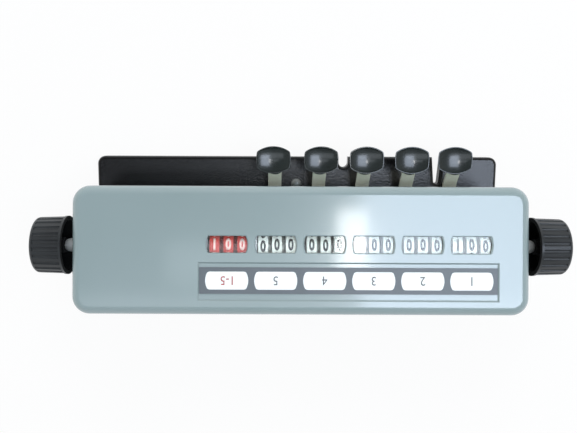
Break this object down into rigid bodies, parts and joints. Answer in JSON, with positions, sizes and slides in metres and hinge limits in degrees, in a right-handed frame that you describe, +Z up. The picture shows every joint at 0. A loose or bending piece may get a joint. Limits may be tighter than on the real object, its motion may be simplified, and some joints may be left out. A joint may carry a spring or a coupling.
{
  "type": "differential cell counter",
  "caption": "Bench tally counter for blood cells: keyed digit counters and a total behind a sloping face, on a cast base.",
  "frame": {"origin": "on the bench under the middle of the object's outer box", "axes": "+X to the user's right along the shafts, +Y from the user towards the back, +Z up from the bench"},
  "size_m": [0.273, 0.0874, 0.0687],
  "materials": {
    "cover_grey": "smooth semi-gloss pale blue-grey moulding",
    "base_black": "black hammertone paint on a casting",
    "clear_lens": "clear moulded window strip",
    "label_grey": "dark grey printed plate with white cells",
    "lever_nickel": "bright nickel plate with a warm tint",
    "cap_black": "polished black moulding",
    "knob_black": "satin black moulding",
    "bush_nickel": "dull nickel",
    "wheel_white": "off-white number wheel with black digits",
    "wheel_red": "red number wheel with white digits",
    "frame_steel": "zinc plated steel",
    "shaft_steel": "ground steel",
    "spring_steel": "blued spring steel",
    "screw_steel": "plated screw",
    "bell_brass": "turned brass",
    "felt": "grey felt",
    "foot_rubber": "black rubber"
  },
  "bodies": {
    "housing": {"base_casting": "base_black", "cover": "cover_grey", "window_lens": "clear_lens", "label_plate": "label_grey", "feet": "foot_rubber", "cover_screws": "screw_steel", "base_screw": "screw_steel", "shaft_bushes": "bush_nickel", "frame_plate_left": "frame_steel", "frame_plate_right": "frame_steel", "middle_plate": "frame_steel", "divider_plates": "frame_steel", "tie_rods": "shaft_steel", "pivot_rod": "shaft_steel", "rest_bar": "frame_steel", "rest_felt": "felt", "click_springs": "spring_steel", "bell_gong": "bell_brass", "bell_post": "shaft_steel", "bell_bracket": "frame_steel", "return_spring_1": "spring_steel", "return_spring_2": "spring_steel", "return_spring_3": "spring_steel", "return_spring_4": "spring_steel", "return_spring_5": "spring_steel", "bail_spring": "spring_steel"},
    "key_1": {"key_lever_1": "lever_nickel", "key_cap_1": "cap_black"},
    "key_2": {"key_lever_2": "lever_nickel", "key_cap_2": "cap_black"},
    "key_3": {"key_lever_3": "lever_nickel", "key_cap_3": "cap_black"},
    "key_4": {"key_lever_4": "lever_nickel", "key_cap_4": "cap_black"},
    "key_5": {"key_lever_5": "lever_nickel", "key_cap_5": "cap_black"},
    "bail": {"total_bail": "frame_steel"},
    "reset_left": {"reset_shaft_left": "shaft_steel", "knob_left": "knob_black"},
    "reset_right": {"reset_shaft_right": "shaft_steel", "knob_right": "knob_black"},
    "hammer": {"bell_hammer": "frame_steel"},
    "counter_1_hundreds": {"counter_1_hundreds_wheel": "wheel_white"},
    "counter_1_tens": {"counter_1_tens_wheel": "wheel_white"},
    "counter_1_units": {"counter_1_units_wheel": "wheel_white"},
    "counter_2_hundreds": {"counter_2_hundreds_wheel": "wheel_white"},
    "counter_2_tens": {"counter_2_tens_wheel": "wheel_white"},
    "counter_2_units": {"counter_2_units_wheel": "wheel_white"},
    "counter_3_hundreds": {"counter_3_hundreds_wheel": "wheel_white"},
    "counter_3_tens": {"counter_3_tens_wheel": "wheel_white"},
    "counter_3_units": {"counter_3_units_wheel": "wheel_white"},
    "counter_4_hundreds": {"counter_4_hundreds_wheel": "wheel_white"},
    "counter_4_tens": {"counter_4_tens_wheel": "wheel_white"},
    "counter_4_units": {"counter_4_units_wheel": "wheel_white"},
    "counter_5_hundreds": {"counter_5_hundreds_wheel": "wheel_white"},
    "counter_5_tens": {"counter_5_tens_wheel": "wheel_white"},
    "counter_5_units": {"counter_5_units_wheel": "wheel_white"},
    "total_hundreds": {"total_hundreds_wheel": "wheel_red"},
    "total_tens": {"total_tens_wheel": "wheel_red"},
    "total_units": {"total_units_wheel": "wheel_red"}
  },
  "joints": [
    {"name": "key_1_press", "type": "hinge", "parent": "housing", "child": "key_1", "pos_m": [0, 0.02721, 0.0245], "axis": [1, 0, 0], "range_deg": [0, 7], "stiffness_Nm_per_rad": 0.3, "springref_deg": -11.46, "deforming": ["return_spring_1"]},
    {"name": "key_2_press", "type": "hinge", "parent": "housing", "child": "key_2", "pos_m": [0, 0.02721, 0.0245], "axis": [1, 0, 0], "range_deg": [0, 7], "stiffness_Nm_per_rad": 0.3, "springref_deg": -11.46, "deforming": ["return_spring_2"]},
    {"name": "key_3_press", "type": "hinge", "parent": "housing", "child": "key_3", "pos_m": [0, 0.02721, 0.0245], "axis": [1, 0, 0], "range_deg": [0, 7], "stiffness_Nm_per_rad": 0.3, "springref_deg": -11.46, "deforming": ["return_spring_3"]},
    {"name": "key_4_press", "type": "hinge", "parent": "housing", "child": "key_4", "pos_m": [0, 0.02721, 0.0245], "axis": [1, 0, 0], "range_deg": [0, 7], "stiffness_Nm_per_rad": 0.3, "springref_deg": -11.46, "deforming": ["return_spring_4"]},
    {"name": "key_5_press", "type": "hinge", "parent": "housing", "child": "key_5", "pos_m": [0, 0.02721, 0.0245], "axis": [1, 0, 0], "range_deg": [0, 7], "stiffness_Nm_per_rad": 0.3, "springref_deg": -11.46, "deforming": ["return_spring_5"]},
    {"name": "total_bail_rock", "type": "hinge", "parent": "housing", "child": "bail", "pos_m": [0, 0.02721, 0.0245], "axis": [1, 0, 0], "range_deg": [0, 7], "stiffness_Nm_per_rad": 0.2, "springref_deg": -11.46, "deforming": ["bail_spring"]},
    {"name": "reset_left_turn", "type": "hinge", "parent": "housing", "child": "reset_left", "pos_m": [0, 0.00887, 0.05123], "axis": [1, 0, 0], "continuous": true},
    {"name": "reset_right_turn", "type": "hinge", "parent": "housing", "child": "reset_right", "pos_m": [0, 0.00887, 0.05123], "axis": [1, 0, 0], "continuous": true},
    {"name": "bell_hammer_swing", "type": "hinge", "parent": "housing", "child": "hammer", "pos_m": [0, 0.02721, 0.0245], "axis": [1, 0, 0], "range_deg": [0, 6], "stiffness_Nm_per_rad": 0.03, "springref_deg": -11.46},
    {"name": "counter_1_hundreds_turn", "type": "hinge", "parent": "housing", "child": "counter_1_hundreds", "pos_m": [0, 0.00887, 0.05123], "axis": [1, 0, 0], "continuous": true},
    {"name": "counter_1_tens_turn", "type": "hinge", "parent": "housing", "child": "counter_1_tens", "pos_m": [0, 0.00887, 0.05123], "axis": [1, 0, 0], "continuous": true},
    {"name": "counter_1_units_turn", "type": "hinge", "parent": "housing", "child": "counter_1_units", "pos_m": [0, 0.00887, 0.05123], "axis": [1, 0, 0], "continuous": true},
    {"name": "counter_2_hundreds_turn", "type": "hinge", "parent": "housing", "child": "counter_2_hundreds", "pos_m": [0, 0.00887, 0.05123], "axis": [1, 0, 0], "continuous": true},
    {"name": "counter_2_tens_turn", "type": "hinge", "parent": "housing", "child": "counter_2_tens", "pos_m": [0, 0.00887, 0.05123], "axis": [1, 0, 0], "continuous": true},
    {"name": "counter_2_units_turn", "type": "hinge", "parent": "housing", "child": "counter_2_units", "pos_m": [0, 0.00887, 0.05123], "axis": [1, 0, 0], "continuous": true},
    {"name": "counter_3_hundreds_turn", "type": "hinge", "parent": "housing", "child": "counter_3_hundreds", "pos_m": [0, 0.00887, 0.05123], "axis": [1, 0, 0], "continuous": true},
    {"name": "counter_3_tens_turn", "type": "hinge", "parent": "housing", "child": "counter_3_tens", "pos_m": [0, 0.00887, 0.05123], "axis": [1, 0, 0], "continuous": true},
    {"name": "counter_3_units_turn", "type": "hinge", "parent": "housing", "child": "counter_3_units", "pos_m": [0, 0.00887, 0.05123], "axis": [1, 0, 0], "continuous": true},
    {"name": "counter_4_hundreds_turn", "type": "hinge", "parent": "housing", "child": "counter_4_hundreds", "pos_m": [0, 0.00887, 0.05123], "axis": [1, 0, 0], "continuous": true},
    {"name": "counter_4_tens_turn", "type": "hinge", "parent": "housing", "child": "counter_4_tens", "pos_m": [0, 0.00887, 0.05123], "axis": [1, 0, 0], "continuous": true},
    {"name": "counter_4_units_turn", "type": "hinge", "parent": "housing", "child": "counter_4_units", "pos_m": [0, 0.00887, 0.05123], "axis": [1, 0, 0], "continuous": true},
    {"name": "counter_5_hundreds_turn", "type": "hinge", "parent": "housing", "child": "counter_5_hundreds", "pos_m": [0, 0.00887, 0.05123], "axis": [1, 0, 0], "continuous": true},
    {"name": "counter_5_tens_turn", "type": "hinge", "parent": "housing", "child": "counter_5_tens", "pos_m": [0, 0.00887, 0.05123], "axis": [1, 0, 0], "continuous": true},
    {"name": "counter_5_units_turn", "type": "hinge", "parent": "housing", "child": "counter_5_units", "pos_m": [0, 0.00887, 0.05123], "axis": [1, 0, 0], "continuous": true},
    {"name": "total_hundreds_turn", "type": "hinge", "parent": "housing", "child": "total_hundreds", "pos_m": [0, 0.00887, 0.05123], "axis": [1, 0, 0], "continuous": true},
    {"name": "total_tens_turn", "type": "hinge", "parent": "housing", "child": "total_tens", "pos_m": [0, 0.00887, 0.05123], "axis": [1, 0, 0], "continuous": true},
    {"name": "total_units_turn", "type": "hinge", "parent": "housing", "child": "total_units", "pos_m": [0, 0.00887, 0.05123], "axis": [1, 0, 0], "continuous": true}
  ],
  "couplings": [
    {"joint": "counter_1_units_turn", "follows": "key_1_press", "ratio": 5.1429},
    {"joint": "counter_2_units_turn", "follows": "key_2_press", "ratio": 5.1429},
    {"joint": "counter_3_units_turn", "follows": "key_3_press", "ratio": 5.1429},
    {"joint": "counter_4_units_turn", "follows": "key_4_press", "ratio": 5.1429},
    {"joint": "counter_5_units_turn", "follows": "key_5_press", "ratio": 5.1429},
    {"joint": "total_units_turn", "follows": "total_bail_rock", "ratio": 5.1429}
  ]
}
